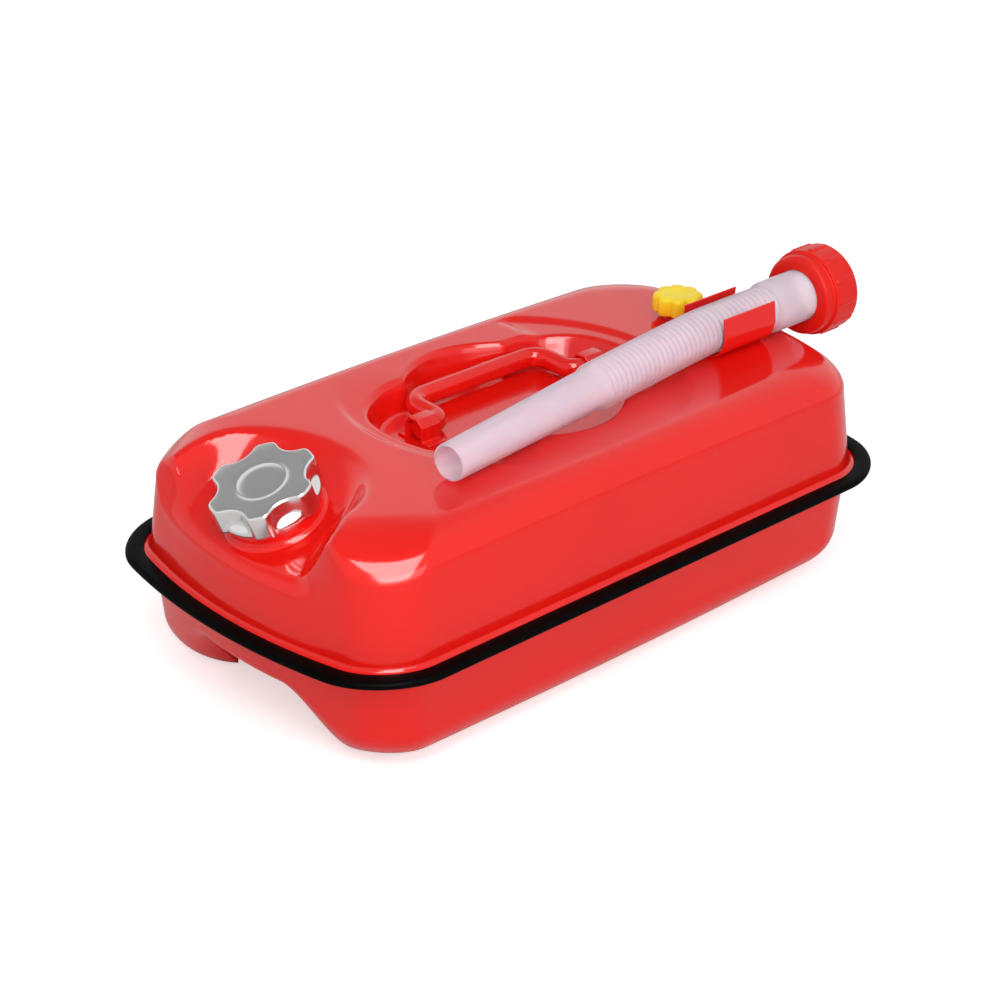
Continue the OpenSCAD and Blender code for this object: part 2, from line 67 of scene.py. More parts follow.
# Shells and trim
SHEET = 0.8
TRIM_CORNER = 42
TRIM_NOSE = 3
TRIM_SLOT = 3
END_BOW = 20
SIDE_BOW = 10
FLANGE_INSET = 3.5
FLANGE_MIDDLE = 7
FILLET_INSET = 10.7
UPPER_INSET = 14.2
UPPER_LEAN = 4
SHOULDER_R = 20
FILLER_CORNER_R = 26
DISH_SHOULDER_R = 11
TOP_CORNER = 34
LOWER_INSET = 15.6
LOWER_LEAN = 2.6
BOTTOM_R = 24
BOTTOM_END_R = 28
ARCH_EDGE_R = 5
BOTTOM_CORNER = 20

# Underside channel and hand holds
ARCH_MOUTH = 76
ARCH_CEILING = 32
ARCH_H = 38
ARCH_LEN = 62
ARCH_FADE = 40
CHANNEL_H = 8

# Handle recess and the shallow round ledge that it is pressed into
RECESS = np.array([8.0, 7.0])
RECESS_LEN = 194
RECESS_WID = 112
RECESS_DEPTH = 17.9
RECESS_CORNER = 32
RECESS_BOW = 16
BULGE_DEPTH = 17
BULGE_LEN = 82
BULGE_SOFT = 0.06
WALL_ANGLE = math.radians(21)
LIP_R = 4.5
FLOOR_R = 6
LIP_START = 1.5
LEDGE = np.array([9.0, 9.0])
LEDGE_R = 106
LEDGE_DEPTH = 2.2
LEDGE_RISE = 6

# Where the ledge's front and rear stretches end along and across the can, and how far they fade
FRONT_X, FRONT_X_FADE = 40, 30
FRONT_Y, FRONT_Y_FADE = 90, 60
REAR_FAR_X, REAR_FAR_FADE = 58, 12
REAR_NEAR_X, REAR_NEAR_FADE = 40, 45
REAR_Y, REAR_Y_FADE = 91, 5

# Filler dish, neck and cap
NECK = np.array([-174.0, 8.0, 116.0])
TILT = math.radians(21)
DISH_Y = 14
DISH_R = 51
DISH_STEEP = 1.5
DISH_FILLET = 3
DISH_FLARE = 0.45
CREST_SOFT = 1.8
CREST_SOFTEN = 1.4
CREST_X = 5
CREST_FADE = 40
NECK_R = 23.5
NECK_BORE = 20.5
NECK_H = 20
COLLAR_R = 28
COLLAR_H = 8.5
THREAD_TURNS = 3
THREAD_Z = 11
THREAD_PITCH = 2.8
THREAD_DEPTH = 1
CAP_R = 32.5
CAP_POINTS = 6
FLUTE_R = 15
FLUTE_ROOT = 26
CAP_FOOT = 10
CAP_H = 16.5
CAP_RIM_R = 30.5
CAP_RIM_H = 3.5
CAP_MARK_R = 14.5
MARK_DEPTH = 0.35
CAP_TURN = math.radians(45)
CAP_BORE = 23.9
CAP_CEILING = 12.4

# Handle and its brackets
ROD_R = 6.25
LEG_X = 54
LEG_LEN = 31.6
BEND_R = 7.2
GRIP_BEND_R = 13
GRIP_X = 14
PIVOT_Y = 18.5
PIVOT_H = 7.2
PIVOT_Z = TOP_Z - RECESS_DEPTH + PIVOT_H
REST_ANGLE = math.radians(2.5)
BRACKET_X = 61.75
BRACKET_LEN = 15
ROD_END = BRACKET_X + BRACKET_LEN - 4
STRAP_T = 1.6
STRAP_PLAY = 0.05
FOOT_LEN = 6

# Spout, nut and clip
SPOUT_Y = -38
TIP_X = -107
TIP_SWAY = 25
SWAY_POWER = 1.3
TIP_R = 11.25
TUBE_R = 13.25
FLARE_LEN = 3
RIB_R = 15
RIB_DEPTH = 1.3
RIB_COUNT = 37
RIB_X = 20
RIB_LEN = 161
SPOUT_WALL = 1.5
CUFF_R = 16.75
CLIP_X = 126
CLIP_LEN = 46
CLIP_T = 1.2
CLIP_H = 29
CLIP_HALF = 15.6
CLIP_BULGE = 1.4
CLEARANCE = 0.3
TIP_CLEARANCE = 0.6
SPOUT_Z = TOP_Z + CLIP_T + CLEARANCE + RIB_R
TIP_Z = TOP_Z + TIP_CLEARANCE + TIP_R
NUT_X = 212
NUT_LEN = 28
NUT_R = 27.75
NUT_FRONT_R = 25.75
NUT_FRONT_LEN = 8
NUT_WALL = 5
NUT_SOCKET = 10.6
NUT_SOCKET_R = 23.9
GROOVE_PITCH = 4
GROOVE_DEPTH = 0.7
FLANGE_R = 22
FLANGE_T = 2.5
LUG_COUNT = 12
LUG_H = 0.9
LUG_HALF = 2.1
LUG_SLOPE = 0.9
LUG_END = 1.2

# Vent knob
VENT = np.array([161.0, 17.0])
KNOB_R = 16.3
KNOB_H = 11.8
LOBE_COUNT = 8
LOBE_R = 5.5
SCREW_R = 3
VENT_REACH = 7
KNOB_FOOT = 4.6
KNOB_Z = TOP_Z + KNOB_FOOT

# A radius below zero is an inset from a star's or a lobed knob's own reach; this one is next to none
NO_INSET = -0.001

# Points along each corner, end and side of an outline, and around the turned pieces and tubes
CORNER_STEPS = 20
END_STEPS = 80
SIDE_STEPS = 72
AROUND = 96
AROUND_FLUTED = 288
STAR_STEPS = 1440
STAR_SOFT = 24
ROD_SIDES = 32
SPOUT_SIDES = 56

# Rings along each stretch of the shells, the trim, the rod and the spout
FILLET_STEPS = 8
WALL_STEPS = 8
SHOULDER_STEPS = 28
TOP_STEPS = 52
LIP_STEPS = 9
FLOOR_STEPS = 12
TURN_STEPS = 18
BOTTOM_STEPS = 56
NOSE_STEPS = 15
BEND_STEPS = 13
GRIP_BEND_STEPS = 19
TUBE_STEPS = 40
FLARE_STEPS = 8
RIB_STEPS = 12
CLIP_STEPS = 19

# Floor in metres, then the plain light, the floor's glow for the camera and what reflections show
FLOOR_HALF = 6
FLOOR_Z = -0.0004
PLAIN_LIGHT = 0.62
FLOOR_GLOW = 0.55
CEILING_AXIS = (0, 0.35, 0.8)
WINDOW_TOWARD = (-0.295, -0.569, 0.767)
WINDOW_HALF = (0.2, 0.44)
WINDOW_STRENGTH = 13.0


def smooth(t):
    """Step from 0 to 1 with soft ends."""
    u = np.clip(t, 0, 1)
    return u * u * (3 - 2 * u)


def soft_min(a, b, softness):
    """Smaller of two heights with a rounded crease."""
    return -softness * np.logaddexp(-a / softness, -b / softness)


def quarter(steps):
    """Angles of a quarter turn with both its ends."""
    return np.linspace(0, QUARTER, steps)


def between(steps):
    """Shares of the way from 0 to 1 without its ends."""
    return np.linspace(0, 1, steps)[1:-1]


def outline_directions():
    """Each outline point's share of the straight half sizes and of the corner radius."""
    straight, rounded = [], []
    for k in range(4):
        sx = 1 if k < 2 else -1
        sy = -1 if k % 3 == 0 else 1
        for i in range(CORNER_STEPS + 1):
            w = QUARTER * (k - 1 + i / CORNER_STEPS)
            straight.append((sx, sy))
            rounded.append((math.cos(w), math.sin(w)))
        steps = END_STEPS if k % 2 == 0 else SIDE_STEPS
        for i in range(1, steps):
            v = 2 * i / steps - 1
            straight.append([(1, v), (-v, 1), (-1, -v), (v, -1)][k])
            rounded.append((sx, 0) if k % 2 == 0 else (0, sy))
    return np.array(straight, float), np.array(rounded, float)


STRAIGHT, TURNED = outline_directions()


def bowed(half_len, half_wid, corner, end_bow, side_bow):
    """Rounded outline whose ends and sides bow out; every size may differ from point to point."""
    a, b = half_len - end_bow, half_wid - side_bow
    x = (a - corner) * STRAIGHT[:, 0] + corner * TURNED[:, 0]
    y = (b - corner) * STRAIGHT[:, 1] + corner * TURNED[:, 1]
    x_bow = x / a * end_bow * (1 - (y / b) ** 2)
    y_bow = y / b * side_bow * (1 - (x / a) ** 2)
    return np.stack([x + x_bow, y + y_bow], 1)


def can_outline(inset, corner, side_bow=0.0):
    return bowed(TRIM_LEN / 2 - inset, TRIM_WID / 2 - inset, corner, END_BOW, side_bow)


def lifted(outline, z):
    return np.column_stack([outline, np.broadcast_to(z, len(outline))])


def ledge(x, y):
    """Depth of the round ledge at the recess's ends, which fades out towards the can's long sides."""
    along = x - LEDGE[0]
    far = np.hypot(along, y - LEDGE[1])
    front = smooth((-FRONT_X - along) / FRONT_X_FADE) * smooth((FRONT_Y - np.abs(y)) / FRONT_Y_FADE)
    rear_far = smooth((along - REAR_FAR_X) / REAR_FAR_FADE)
    rear_near = smooth((along - REAR_NEAR_X) / REAR_NEAR_FADE)
    rear = np.where(y > LEDGE[1], rear_far, rear_near) * smooth((REAR_Y - np.abs(y)) / REAR_Y_FADE)
    return LEDGE_DEPTH * smooth((LEDGE_R - far) / LEDGE_RISE + 0.5) * (front + rear)


def dish_height(x, y):
    """Height of the slanting filler dish, round but for its near side that flares to the can's end."""
    along = (x - NECK[0]) / math.cos(TILT)
    round_side = np.hypot(along, y - DISH_Y) - DISH_R
    near_side = DISH_Y - y - DISH_R + DISH_FLARE * along
    reach = np.where((along < 0) & (y < DISH_Y), np.minimum(near_side, round_side), round_side)
    rise = DISH_FILLET * np.logaddexp(0, reach / DISH_FILLET)
    return NECK[2] + (x - NECK[0]) * math.tan(TILT) + DISH_STEEP * rise


def top_height(x, y):
    """Height of the can's top with its ledge and filler dish."""
    softness = CREST_SOFT + CREST_SOFTEN * smooth((x - NECK[0] - CREST_X) / CREST_FADE)
    return soft_min(TOP_Z - ledge(x, y), dish_height(x, y), softness)


def recess_outline(grow):
    """Outline of the handle recess, whose long sides swell in the middle."""
    corner = RECESS_CORNER + grow
    p = bowed(RECESS_LEN / 2 + grow, RECESS_WID / 2 + grow, corner, RECESS_BOW, 0.0)
    hump = np.logaddexp(0, (1 - (2 * p[:, 0] / BULGE_LEN) ** 2) / BULGE_SOFT)
    swell = BULGE_DEPTH * BULGE_SOFT * hump * np.clip(np.abs(p[:, 1]) / (RECESS_WID / 4), 0, 1)
    return RECESS + np.column_stack([p[:, 0], p[:, 1] + np.sign(p[:, 1]) * swell])


def recess_profile():
    """Distances outwards and depths from the rounded lip down the wall to the rounded foot."""
    turn = QUARTER - WALL_ANGLE
    arcs = np.linspace(0, turn, LIP_STEPS)
    lip = np.column_stack([-LIP_R * np.sin(arcs), LIP_R * (1 - np.cos(arcs))])
    foot = np.column_stack([FLOOR_R * np.sin(arcs), -FLOOR_R * (1 - np.cos(arcs))])[::-1]
    down = RECESS_DEPTH - (LIP_R + FLOOR_R) * (1 - math.cos(turn))
    across = (LIP_R + FLOOR_R) * math.sin(turn) + down * math.tan(WALL_ANGLE)
    start = np.array([LIP_START, 0])
    end = start + [-across, RECESS_DEPTH]
    wall = [lip[-1] + start + (foot[0] + end - lip[-1] - start) * t for t in (1 / 4, 2 / 4, 3 / 4)]
    return np.vstack([lip + start, wall, foot + end])


def flange_rings(foot_inset, foot_z, up):
    """Rings of a flange and of the fillet that turns it into the wall, up being 1 or -1."""
    fillet_r = foot_inset - FILLET_INSET
    insets = (FLANGE_INSET, FLANGE_MIDDLE, FILLET_INSET)
    rings = [lifted(can_outline(d, TRIM_CORNER - d), foot_z) for d in insets]
    for w in quarter(FILLET_STEPS)[1:]:
        d = FILLET_INSET + fillet_r * math.sin(w)
        rings.append(lifted(can_outline(d, TRIM_CORNER - d), foot_z + up * fillet_r * (1 - math.cos(w))))
    return rings


def upper_rings():
    """Rings of the upper shell from its flange over the shoulder to the middle of the recess's floor."""
    foot_corner = TRIM_CORNER - UPPER_INSET
    rings = flange_rings(UPPER_INSET, SEAM_Z + SHEET, 1)
    z0 = rings[-1][0][2]
    # One arc turns the wall into the flat top and a tighter one into the dish; the lower one counts
    brim_inset = UPPER_INSET + UPPER_LEAN
    cornered = 2 * np.maximum(0, -TURNED[:, 0]) * np.abs(TURNED[:, 1])
    flat_r = SHOULDER_R + (FILLER_CORNER_R - SHOULDER_R) * cornered

    def shoulder(inward):
        part = np.minimum(1, inward / SHOULDER_R)
        corner = foot_corner + (TOP_CORNER - foot_corner) * part
        return can_outline(brim_inset + inward, corner, SIDE_BOW * part)

    def dish_at(inward):
        p = shoulder(inward)
        return dish_height(p[:, 0], p[:, 1])

    def arc(inward, r):
        return np.sqrt(np.maximum(0, r ** 2 - np.maximum(0, r - inward) ** 2))

    slope = math.tan(TILT) * np.maximum(0, -TURNED[:, 0])
    dish_foot = dish_at(DISH_SHOULDER_R) - DISH_SHOULDER_R * np.sqrt(1 + slope ** 2)
    meets = DISH_SHOULDER_R * (1 - np.sin(np.arctan(slope)))
    missing = dish_at(meets) - dish_foot - arc(meets, DISH_SHOULDER_R)
    brim_z = soft_min(TOP_Z - flat_r, dish_foot, CREST_SOFT)
    for t in between(WALL_STEPS):
        outline = can_outline(UPPER_INSET + UPPER_LEAN * t, foot_corner)
        rings.append(lifted(outline, z0 + (brim_z - z0) * t))
    for w in quarter(SHOULDER_STEPS):
        inward = flat_r * (1 - math.cos(w))
        p = shoulder(inward)
        flat = TOP_Z - flat_r + arc(inward, flat_r) - ledge(p[:, 0], p[:, 1])
        turn = dish_foot + arc(inward, DISH_SHOULDER_R) + missing * smooth(inward / meets)
        dish = np.where(inward < meets, turn, dish_at(inward))
        rings.append(lifted(p, soft_min(flat, dish, CREST_SOFT)))
    profile = recess_profile()
    brim, lip = rings[-1][:, :2], recess_outline(profile[0][0])
    for t in between(TOP_STEPS):
        p = brim + (lip - brim) * t
        rings.append(lifted(p, top_height(p[:, 0], p[:, 1])))
    for grow, depth in profile:
        p = recess_outline(grow)
        top = top_height(p[:, 0], p[:, 1])
        rings.append(lifted(p, top - depth - (top - TOP_Z) * depth / RECESS_DEPTH))
    floor = rings[-1]
    for t in between(FLOOR_STEPS):
        rings.append(lifted(RECESS + (floor[:, :2] - RECESS) * (1 - t), TOP_Z - RECESS_DEPTH))
    return rings


def arch_height(x, y):
    """Height of the underside channel, which rises into a hand hold at each end."""
    rise = smooth((np.abs(x) - (TRIM_LEN / 2 - ARCH_LEN - ARCH_FADE)) / ARCH_FADE)
    side = smooth((ARCH_MOUTH - np.abs(y)) / (ARCH_MOUTH - ARCH_CEILING))
    return (CHANNEL_H + (ARCH_H - CHANNEL_H) * rise) * side


def lower_rings():
    """Rings of the lower shell from its flange down the wall to the middle of the underside."""
    foot_corner = TRIM_CORNER - LOWER_INSET
    rings = flange_rings(LOWER_INSET, SEAM_Z - SHEET, -1)
    z0 = rings[-1][0][2]
    # The wall turns into the bottom with a wide radius, and with a small one over the hand holds
    brim_inset = LOWER_INSET + LOWER_LEAN
    probe = can_outline(brim_inset + ARCH_EDGE_R, BOTTOM_CORNER, SIDE_BOW)
    height = arch_height(probe[:, 0], probe[:, 1])
    wide = BOTTOM_R + (BOTTOM_END_R - BOTTOM_R) * TURNED[:, 0] ** 2
    turn_r = wide + (ARCH_EDGE_R - wide) * height / ARCH_H
    for t in between(WALL_STEPS):
        z = z0 + (height + turn_r - z0) * t
        rings.append(lifted(can_outline(LOWER_INSET + LOWER_LEAN * t, foot_corner), z))
    for w in quarter(TURN_STEPS):
        part = 1 - math.cos(w)
        corner = foot_corner + (BOTTOM_CORNER - foot_corner) * part
        outline = can_outline(brim_inset + turn_r * part, corner, SIDE_BOW * part)
        rings.append(lifted(outline, height + turn_r * (1 - math.sin(w))))
    start = brim_inset + turn_r
    for t in between(BOTTOM_STEPS):
        inset = start + (TRIM_WID / 2 - 1 - start) * t
        p = can_outline(inset, BOTTOM_CORNER * (1 - t), SIDE_BOW * (1 - t))
        rings.append(lifted(p, arch_height(p[:, 0], p[:, 1])))
    return rings


def trim_rings():
    """Rings of the split edge trim: a round nose, two lips and the slot that takes the flanges."""
    half = TRIM_H / 2
    nose = [(TRIM_NOSE * (1 - math.cos(w)), half * math.sin(w))
            for w in np.linspace(-QUARTER, QUARTER, NOSE_STEPS)]
    lip = [(9.6, half - 0.1), (10.2, half - 0.5), (10.5, half - 1.1), (10.4, SHEET + 0.3)]
    slot = [(9.9, SHEET), (TRIM_SLOT, SHEET), (TRIM_SLOT, -SHEET), (9.9, -SHEET)]
    profile = nose + [(6, half)] + lip + slot + [(d, -z) for d, z in lip[::-1]] + [(6, -half)]
    return [lifted(can_outline(d, TRIM_CORNER - d), SEAM_Z + z) for d, z in profile]


def skin(rings, closed=False, first=False, last=False):
    """Points and faces through equally long rings; first and last close the end rings with a fan."""
    m, n = len(rings), len(rings[0])
    points = [tuple(p) for ring in rings for p in ring]
    faces = []
    for k in range(m if closed else m - 1):
        a, b = k * n, (k + 1) % m * n
        faces += [(a + i, a + (i + 1) % n, b + (i + 1) % n, b + i) for i in range(n)]
    for wanted, start in ((first, 0), (last, (m - 1) * n)):
        if wanted:
            points.append(tuple(np.mean(points[start:start + n], axis=0)))
            turn = -1 if start == 0 else 1
            faces += [(start + i, start + (i + 1) % n, len(points) - 1)[::turn] for i in range(n)]
    return points, faces


def sheet_of(rings, side):
    """Closed sheet with one face through the rings and the other beside it, on the given side."""
    grid = np.array(rings)
    around = np.roll(grid, -1, axis=1) - np.roll(grid, 1, axis=1)
    normal = np.cross(around, np.gradient(grid, axis=0))
    normal *= side / np.linalg.norm(normal, axis=2)[:, :, None]
    under = grid + SHEET * normal
    under[0] = grid[0] + (0, 0, SHEET * side)
    return skin(list(under[::-1]) + list(grid), first=True, last=True)


def turned(profile, radius=None):
    """Rings around Z from radii and heights; radius changes a radius by angle, on finer rings."""
    around = AROUND if radius is None else AROUND_FLUTED
    angles = np.arange(around) / around * FULL
    rings = []
    for r, z in profile:
        reach = np.full(around, float(r)) if radius is None else radius(r, z, angles)
        height = np.full(around, float(z))
        rings.append(np.column_stack([reach * np.cos(angles), reach * np.sin(angles), height]))
    return rings


def rings_along(line, ahead, radii, sides):
    """Rings along a line, each square to the way ahead; up is kept as near Z as it can be."""
    ahead = ahead / np.linalg.norm(ahead, axis=1)[:, None]
    aside = np.cross([0, 0, 1], ahead)
    aside /= np.linalg.norm(aside, axis=1)[:, None]
    up = np.cross(ahead, aside)
    w = np.arange(sides) / sides * FULL
    return [p + r * (np.cos(w)[:, None] * a + np.sin(w)[:, None] * u)
            for p, r, a, u in zip(line, radii, aside, up)]


def rounded_profile(corners, steps=5):
    """Profile through corners given as radius, height and rounding."""
    points = []
    for i, (r, z, rounding) in enumerate(corners):
        here = np.array([r, z], float)
        if rounding == 0 or i in (0, len(corners) - 1):
            points.append(here)
            continue
        before = np.array(corners[i - 1][:2], float) - here
        after = np.array(corners[i + 1][:2], float) - here
        a = before / np.linalg.norm(before) * min(rounding, np.linalg.norm(before) / 2)
        b = after / np.linalg.norm(after) * min(rounding, np.linalg.norm(after) / 2)
        for t in np.linspace(0, 1, steps):
            points.append(here + a * (1 - t) ** 2 + b * t ** 2)
    return points


def moved(shape, matrix):
    points, faces = shape
    return [tuple(matrix @ Vector(p)) for p in points], faces


def joined(*shapes):
    points, faces = [], []
    for more_points, more_faces in shapes:
        faces += [tuple(i + len(points) for i in f) for f in more_faces]
        points += more_points
    return points, faces


def extruded(profile, length):
    """Flat profile in Y and Z drawn out along X."""
    n = len(profile)
    points = [(x, y, z) for x in (0, length) for y, z in profile]
    faces = [(i, (i + 1) % n, n + (i + 1) % n, n + i) for i in range(n)]
    return points, faces + [tuple(range(n))[::-1], tuple(range(n, 2 * n))]


def piece(name, shape, body, nodes, slot, sharp=40, bevel=0):
    """Adds a mesh in place of CAD nodes, in its slot's finish; bevel rounds its sharp edges."""
    points, faces = shape
    mesh = bpy.data.meshes.new(name)
    mesh.from_pydata([((x + CENTRE_X) * MM, y * MM, z * MM) for x, y, z in points], [], faces)
    obj = bpy.data.objects.new(name, mesh)
    bpy.context.scene.collection.objects.link(obj)
    if bevel:
        edges = obj.modifiers.new("edges", "BEVEL")
        edges.width = bevel * MM
        edges.segments = 3
        edges.limit_method = "ANGLE"
        edges.angle_limit = math.radians(50)
        shown = obj.evaluated_get(bpy.context.evaluated_depsgraph_get())
        obj.modifiers.clear()
        obj.data = bpy.data.meshes.new_from_object(shown)
        obj.data.name = name
    obj.data.shade_smooth()
    obj.data.set_sharp_from_angle(angle=math.radians(sharp))
    obj.data.materials.clear()
    obj.data.materials.append(finishes[slot])
    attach(obj, body)
    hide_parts(*nodes)
    return obj


def surface(name, light, dark, scale, roughness, bump_scale=0.0, bump=0.0, **sockets):
    """Shader whose colour and roughness drift slightly over the surface, with an optional fine grain."""
    material = bpy.data.materials.new(name)
    material.use_nodes = True
    nodes, links = material.node_tree.nodes, material.node_tree.links
    shader = nodes["Principled BSDF"]
    place = nodes.new("ShaderNodeTexCoord")
    drift = nodes.new("ShaderNodeTexNoise")
    drift.inputs["Scale"].default_value = scale
    drift.inputs["Detail"].default_value = 3
    links.new(place.outputs["Object"], drift.inputs["Vector"])
    colours = nodes.new("ShaderNodeValToRGB")
    colours.color_ramp.elements[0].position = 0.3
    colours.color_ramp.elements[1].position = 0.7
    colours.color_ramp.elements[0].color = (*dark, 1)
    colours.color_ramp.elements[1].color = (*light, 1)
    links.new(drift.outputs["Fac"], colours.inputs["Fac"])
    links.new(colours.outputs["Color"], shader.inputs["Base Color"])
    rough = nodes.new("ShaderNodeMapRange")
    rough.inputs["To Min"].default_value = roughness * 0.85
    rough.inputs["To Max"].default_value = roughness * 1.15
    links.new(drift.outputs["Fac"], rough.inputs["Value"])
    links.new(rough.outputs["Result"], shader.inputs["Roughness"])
    if bump:
        grain = nodes.new("ShaderNodeTexNoise")
        grain.inputs["Scale"].default_value = bump_scale
        grain.inputs["Detail"].default_value = 2
        links.new(place.outputs["Object"], grain.inputs["Vector"])
        relief = nodes.new("ShaderNodeBump")
        relief.inputs["Strength"].default_value = bump
        relief.inputs["Distance"].default_value = 0.0005
        links.new(grain.outputs["Fac"], relief.inputs["Height"])
        links.new(relief.outputs["Normal"], shader.inputs["Normal"])
        links.new(relief.outputs["Normal"], shader.inputs["Coat Normal"])
    for socket, value in sockets.items():
        shader.inputs[socket.replace("_", " ")].default_value = value
    return material


finishes = {
    "red_paint": surface("red enamel", (0.80, 0.010, 0.006), (0.75, 0.008, 0.005), 9, 0.14, 260, 0.05,
                         Coat_Weight=0.2, Coat_Roughness=0.03, Specular_IOR_Level=0.28),
    "black_trim": surface("black edge trim", (0.002, 0.002, 0.002), (0.001, 0.001, 0.001),
                          30, 0.4, 500, 0.04, Specular_IOR_Level=0.02),
    "silver_cap": surface("satin silver lacquer", (0.74, 0.73, 0.73), (0.70, 0.69, 0.69),
                          25, 0.2, 900, 0.03, Metallic=1.0),
    "black_rubber": surface("black rubber", (0.03, 0.03, 0.03), (0.018, 0.018, 0.018),
                            120, 0.65, 700, 0.1),
    "milky_plastic": surface("milky polyethylene", (0.86, 0.77, 0.83), (0.84, 0.74, 0.81),
                             40, 0.3, 400, 0.03, Transmission_Weight=0.55, IOR=1.15,
                             Subsurface_Weight=0.3, Subsurface_Scale=0.004),
    "red_plastic": surface("moulded red plastic", (0.76, 0.014, 0.008), (0.70, 0.010, 0.006),
                           35, 0.36, 600, 0.05, Specular_IOR_Level=0.22),
    "yellow_plastic": surface("moulded yellow plastic", (1.0, 0.77, 0.03), (0.96, 0.70, 0.02),
                              60, 0.38, 600, 0.05, Specular_IOR_Level=0.25),
}

# Shells and trim
piece("upper_can", sheet_of(upper_rings(), -1), "can", ["upper_shell"], "red_paint")
points, faces = sheet_of(lower_rings(), 1)
piece("lower_can", (points, [f[::-1] for f in faces]), "can", ["lower_shell"], "red_paint")
piece("rubber_edge", skin(trim_rings(), closed=True), "can", ["edge_trim"], "black_trim")

# Filler neck and cap, turned on the slanted axis of the dish
on_neck = Matrix.Translation(NECK) @ Matrix.Rotation(-TILT, 4, "Y")
root = NECK_R - THREAD_DEPTH
thread = []
for k in range(THREAD_TURNS):
    z = THREAD_Z + THREAD_PITCH * k
    thread += [(root, z, 0), (NECK_R, z + 0.7, 0), (NECK_R, z + 1.3, 0), (root, z + 2, 0)]
neck_profile = rounded_profile([
    (NECK_BORE, -0.6, 0), (COLLAR_R + 4, -0.6, 0), (COLLAR_R + 2, 0.5, 1.2), (COLLAR_R, 3, 1.5),
    (COLLAR_R, COLLAR_H, 2), (root, COLLAR_H, 1), *thread, (root, NECK_H, 0.8),
    (NECK_BORE, NECK_H, 0.8), (NECK_BORE, -0.5, 0)])
neck = moved(skin(turned(neck_profile), closed=True), on_neck)
piece("neck", neck, "can", ["filler_neck"], "red_paint")


def star_reach(angles):
    """Reach of the cap's star by angle, with the points' corners softened."""
    fine = np.linspace(0, FULL, STAR_STEPS, endpoint=False)
    turn = FULL / CAP_POINTS
    off = (fine - CAP_TURN + turn) % turn - turn / 2
    middle = FLUTE_ROOT + FLUTE_R
    inside = FLUTE_R ** 2 - (middle * np.sin(off)) ** 2
    flute = np.where(inside > 0, middle * np.cos(off) - np.sqrt(np.maximum(inside, 0)), CAP_R)
    reach = np.minimum(CAP_R, flute)
    window = np.hanning(2 * STAR_SOFT + 1)
    wrapped = np.concatenate([reach[-STAR_SOFT:], reach, reach[:STAR_SOFT]])
    softened = np.convolve(wrapped, window / window.sum(), "valid")
    return np.interp(angles % FULL, fine, softened, period=FULL)


def cap_reach(r, z, angles):
    """Star sides that flare into the round rim at the cap's foot."""
    if r > 0:
        return np.full(len(angles), float(r))
    star = star_reach(angles)
    share = smooth((z - CAP_RIM_H + 0.5) / 4)
    flare = np.maximum(star, CAP_RIM_R)
    return flare + (star - flare) * share + r


side = [(-0.8, 0), (-0.2, 0.3)]
side += [(NO_INSET, z) for z in (0.9, 2.2, 3.2, 4, 5, 6, 7, 9, CAP_H - 1.9)]
side += [(-0.15, CAP_H - 1.1), (-0.6, CAP_H - 0.45), (-1.2, CAP_H - 0.12), (-2, CAP_H)]
mark = [(CAP_MARK_R + 0.9, CAP_H), (CAP_MARK_R + 0.4, CAP_H - MARK_DEPTH),
        (CAP_MARK_R - 0.4, CAP_H - MARK_DEPTH), (CAP_MARK_R - 0.9, CAP_H)]
cap_profile = side + [(24, CAP_H), (18, CAP_H)] + mark + [(9, CAP_H), (4, CAP_H)]
bore = [(4, CAP_CEILING), (CAP_BORE, CAP_CEILING), (CAP_BORE, 1), (CAP_BORE + 0.8, 0)]
shell = skin(turned(cap_profile, cap_reach), last=True)
hollow = skin(turned(bore[::-1], cap_reach), last=True)
lip = skin(turned([bore[-1], side[0]], cap_reach))
cap = moved(joined(shell, hollow, lip), on_neck @ Matrix.Translation((0, 0, CAP_FOOT)))
piece("screw_cap", cap, "cap", ["cap_knob"], "silver_cap", sharp=50)

# Handle: a bent rod that rests at a small angle above the recess floor
on_pivot = Matrix.Translation((GRIP_X, PIVOT_Y, PIVOT_Z)) @ Matrix.Rotation(REST_ANGLE, 4, "X")
half = [(ROD_END, 0), (ROD_END - 6, 0), (LEG_X + BEND_R, 0)]
half += [(LEG_X + BEND_R - BEND_R * math.sin(w), BEND_R - BEND_R * math.cos(w))
         for w in quarter(BEND_STEPS)[1:]]
half += [(LEG_X - GRIP_BEND_R * (1 - math.cos(w)), LEG_LEN - GRIP_BEND_R * (1 - math.sin(w)))
         for w in quarter(GRIP_BEND_STEPS)]
half += [(x, LEG_LEN) for x in (36, 24, 12)]
path = np.array(half + [(0, LEG_LEN)] + [(-x, y) for x, y in half[::-1]])
# Two smaller rings round each end of the rod
ends = np.array([path[0] + (0.9, 0), path[0] + (0.6, 0)])
end_radii = [ROD_R - 0.9, ROD_R - 0.35]
line = np.vstack([ends, path, ends[::-1] * (-1, 1)])
line = np.column_stack([line, np.zeros(len(line))])
radii = end_radii + [ROD_R] * len(path) + end_radii[::-1]
rod = skin(rings_along(line, np.gradient(line, axis=0), radii, ROD_SIDES), first=True, last=True)
piece("carry_handle", moved(rod, on_pivot), "handle", ["handle_bail"], "red_paint")

